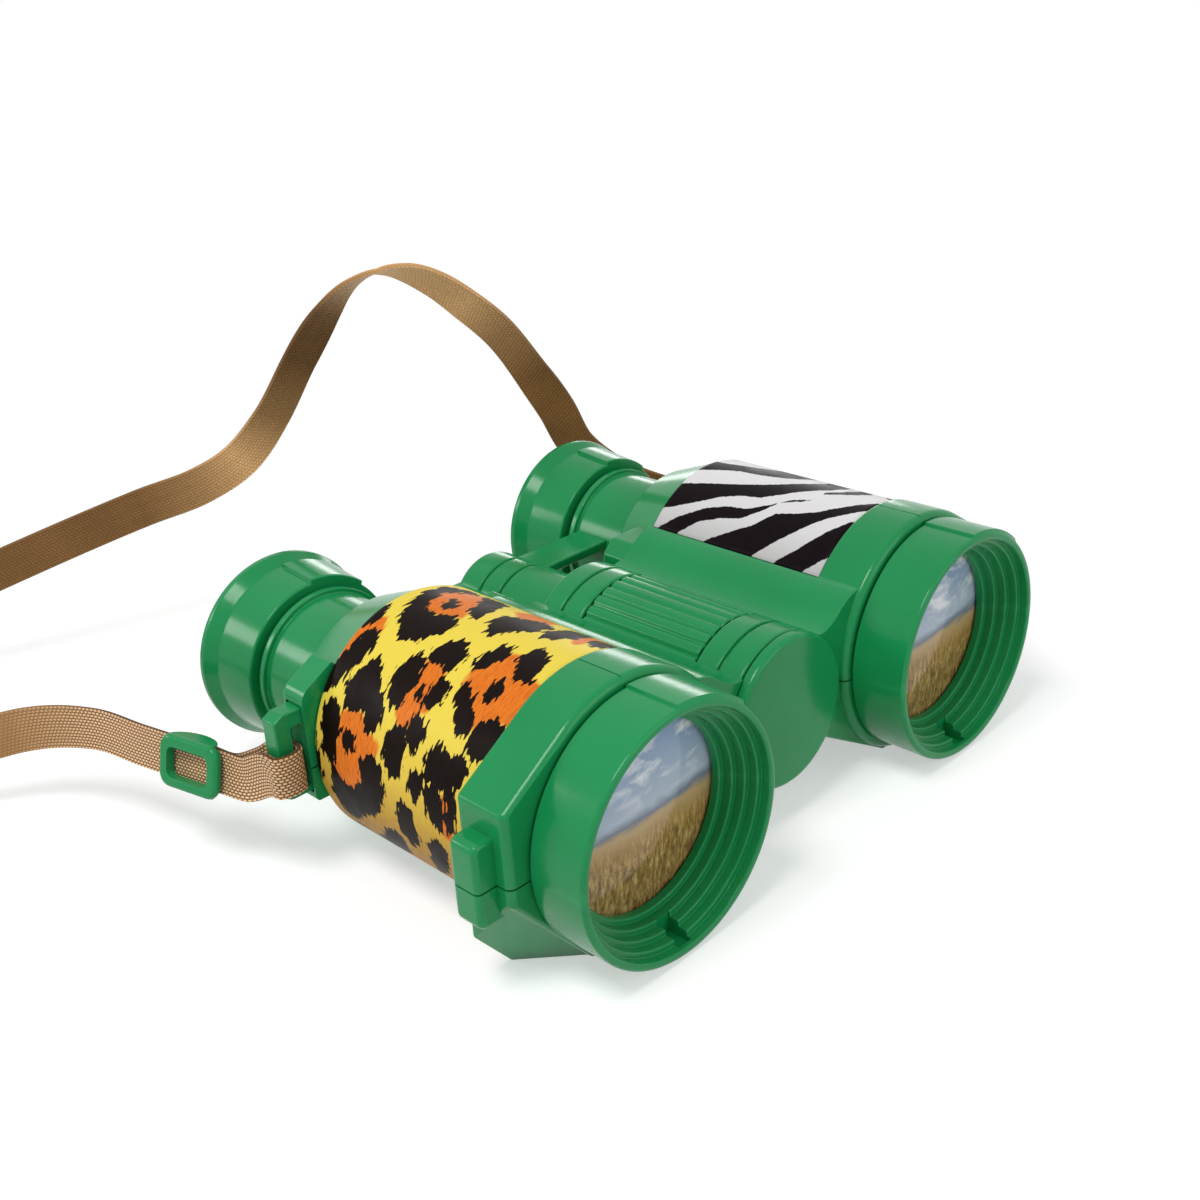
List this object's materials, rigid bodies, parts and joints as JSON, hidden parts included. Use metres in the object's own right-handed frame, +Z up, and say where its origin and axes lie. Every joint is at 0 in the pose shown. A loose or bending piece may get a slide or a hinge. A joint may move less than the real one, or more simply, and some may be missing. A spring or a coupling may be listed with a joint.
{
  "type": "toy binoculars",
  "caption": "Toy field binoculars with animal-print barrel wraps, stepped lens bezels, a ribbed focus wheel that slides the eyepieces, and a webbing neck strap with a slide buckle.",
  "frame": {"origin": "on the table below the middle of the binoculars, at the bottom centre of their box without the strap", "axes": "+Z up, front lenses facing -Y, eyepieces towards +Y, leopard-print barrel on the -X side"},
  "size_m": [0.2045, 0.185, 0.0719],
  "materials": {
    "green_plastic": "glossy injection-moulded plastic",
    "leopard_print": "glossy printed wrap, dark spots on yellow and orange",
    "zebra_print": "glossy printed wrap, black stripes on white",
    "clear_plastic": "clear polished plastic",
    "bright_steel": "bright zinc plated",
    "tan_webbing": "woven polyester webbing"
  },
  "bodies": {
    "housing": {"left_upper_shell": "green_plastic", "right_upper_shell": "green_plastic", "lower_shell": "green_plastic", "left_wrap": "leopard_print", "right_wrap": "zebra_print", "left_bezel": "green_plastic", "right_bezel": "green_plastic", "left_objective_lens": "clear_plastic", "right_objective_lens": "clear_plastic", "left_lens_retainer": "green_plastic", "right_lens_retainer": "green_plastic", "left_strap_lug": "green_plastic", "right_strap_lug": "green_plastic", "front_cap": "green_plastic", "front_sleeve": "green_plastic", "rear_sleeve": "green_plastic", "left_front_screw": "bright_steel", "left_rear_screw": "bright_steel", "right_front_screw": "bright_steel", "right_rear_screw": "bright_steel", "neck_strap": "tan_webbing"},
    "focus": {"focus_wheel": "green_plastic", "focus_spindle": "bright_steel"},
    "eyepieces": {"eyepiece_bridge": "green_plastic", "left_eyepiece_tube": "green_plastic", "right_eyepiece_tube": "green_plastic", "left_eye_lens": "clear_plastic", "right_eye_lens": "clear_plastic", "left_eyecup": "green_plastic", "right_eyecup": "green_plastic"},
    "buckle": {"slide_buckle": "green_plastic"}
  },
  "joints": [
    {"name": "focus_turn", "type": "hinge", "parent": "housing", "child": "focus", "pos_m": [0, 0, 0.0198], "axis": [0, 1, 0], "range_deg": [-155, 155]},
    {"name": "eyepiece_slide", "type": "slide", "parent": "housing", "child": "eyepieces", "axis": [0, 1, 0], "range_m": [-0.003, 0.003]},
    {"name": "buckle_slide", "type": "slide", "parent": "housing", "child": "buckle", "axis": [-0.2147, 0.9767, 0], "range_m": [-0.004, 0.012]}
  ],
  "couplings": [
    {"joint": "focus_turn", "follows": "eyepiece_slide", "rad_per_m": 872}
  ]
}
